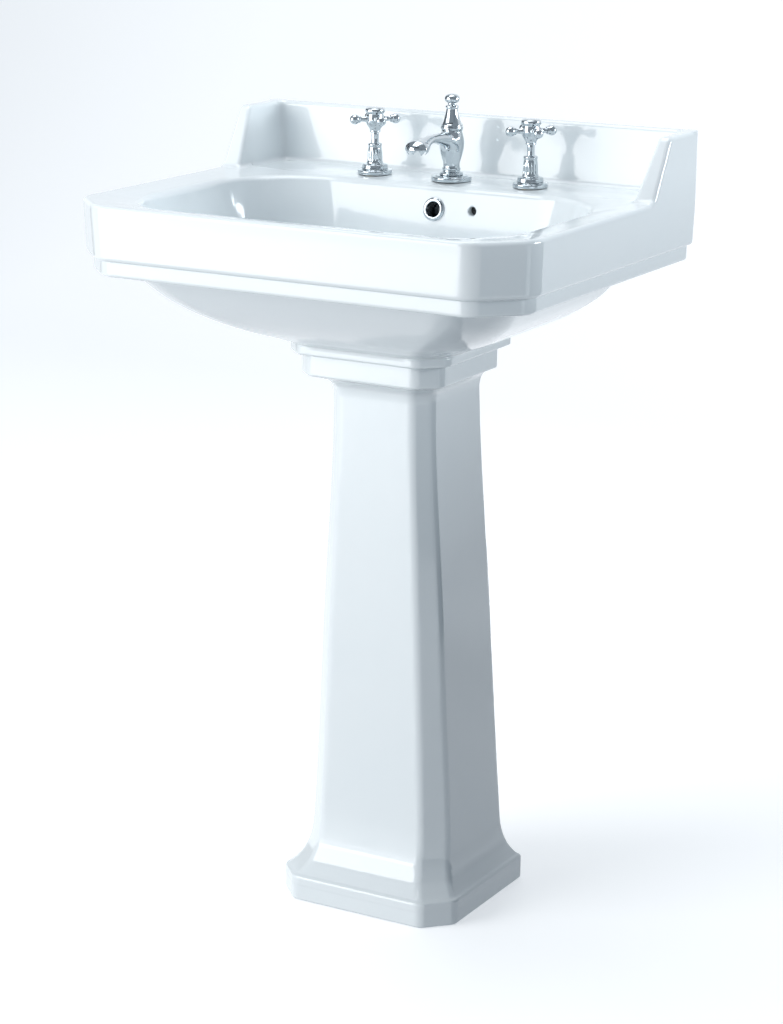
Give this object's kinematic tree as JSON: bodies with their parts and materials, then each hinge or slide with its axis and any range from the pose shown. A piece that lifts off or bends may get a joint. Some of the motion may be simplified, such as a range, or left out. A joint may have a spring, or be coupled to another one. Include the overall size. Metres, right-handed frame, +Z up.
{
  "type": "pedestal sink",
  "caption": "Glazed ceramic basin with upstand on a hollow pedestal, two cross-handle valves, spout, pop-up waste and bottle trap.",
  "frame": {"origin": "on the floor under the middle of the basin's plan", "axes": "+X across to the cold valve, -Y the front of the basin, +Y the wall, +Z up"},
  "size_m": [0.56, 0.45, 0.931],
  "materials": {
    "glazed_ceramic": "glossy white glaze",
    "chrome": "bright plated",
    "brass": "machined",
    "black_rubber": "matt black",
    "white_plastic": "moulded white"
  },
  "bodies": {
    "sink": {"basin": "glazed_ceramic", "pedestal": "glazed_ceramic", "overflow_ring": "chrome", "spout_flange": "chrome", "spout": "chrome", "spout_cap": "chrome", "spout_deck_seal": "black_rubber", "spout_backnut": "brass", "link_tee": "brass", "link_tubes": "chrome", "link_nuts": "brass", "pivot_nut": "chrome", "waste_body": "chrome", "waste_seal": "black_rubber", "waste_washer": "black_rubber", "waste_locknut": "brass", "waste_tail": "chrome", "trap_body": "white_plastic", "trap_inlet_nut": "white_plastic", "trap_dip_tube": "white_plastic", "trap_cup": "white_plastic", "trap_outlet_nut": "white_plastic", "hot_valve_body": "brass", "hot_flange": "chrome", "hot_bonnet": "chrome", "hot_deck_seal": "black_rubber", "hot_backnut": "brass", "cold_valve_body": "brass", "cold_flange": "chrome", "cold_bonnet": "chrome", "cold_deck_seal": "black_rubber", "cold_backnut": "brass"},
    "hot_tap": {"hot_handle": "chrome", "hot_stem": "chrome", "hot_index_disc": "chrome", "hot_handle_screw": "brass"},
    "cold_tap": {"cold_handle": "chrome", "cold_stem": "chrome", "cold_index_disc": "chrome", "cold_handle_screw": "brass"},
    "lift": {"lift_knob": "chrome", "lift_rod": "chrome", "rod_clamp": "chrome", "clamp_screw": "brass"},
    "lever": {"pivot_rod": "chrome"},
    "pop_up_plug": {"plug": "chrome", "plug_seal": "black_rubber"}
  },
  "joints": [
    {"name": "hot_turn", "type": "hinge", "parent": "sink", "child": "hot_tap", "pos_m": [-0.1016, 0.159, 0.89], "axis": [0, 0, 1], "range_deg": [0, 90]},
    {"name": "cold_turn", "type": "hinge", "parent": "sink", "child": "cold_tap", "pos_m": [0.1016, 0.159, 0.89], "axis": [0, 0, 1], "range_deg": [-90, 0]},
    {"name": "lift_slide", "type": "slide", "parent": "sink", "child": "lift", "axis": [0, 0, 1], "range_m": [0, 0.0234]},
    {"name": "lever_turn", "type": "hinge", "parent": "sink", "child": "lever", "pos_m": [0, 0.063, 0.622], "axis": [1, 0, 0], "range_deg": [0, 14]},
    {"name": "plug_slide", "type": "slide", "parent": "sink", "child": "pop_up_plug", "axis": [0, 0, 1], "range_m": [-0.0069, 0]}
  ],
  "couplings": [
    {"joint": "lever_turn", "follows": "lift_slide", "rad_per_m": 10.43},
    {"joint": "plug_slide", "follows": "lift_slide", "ratio": -0.2938}
  ]
}
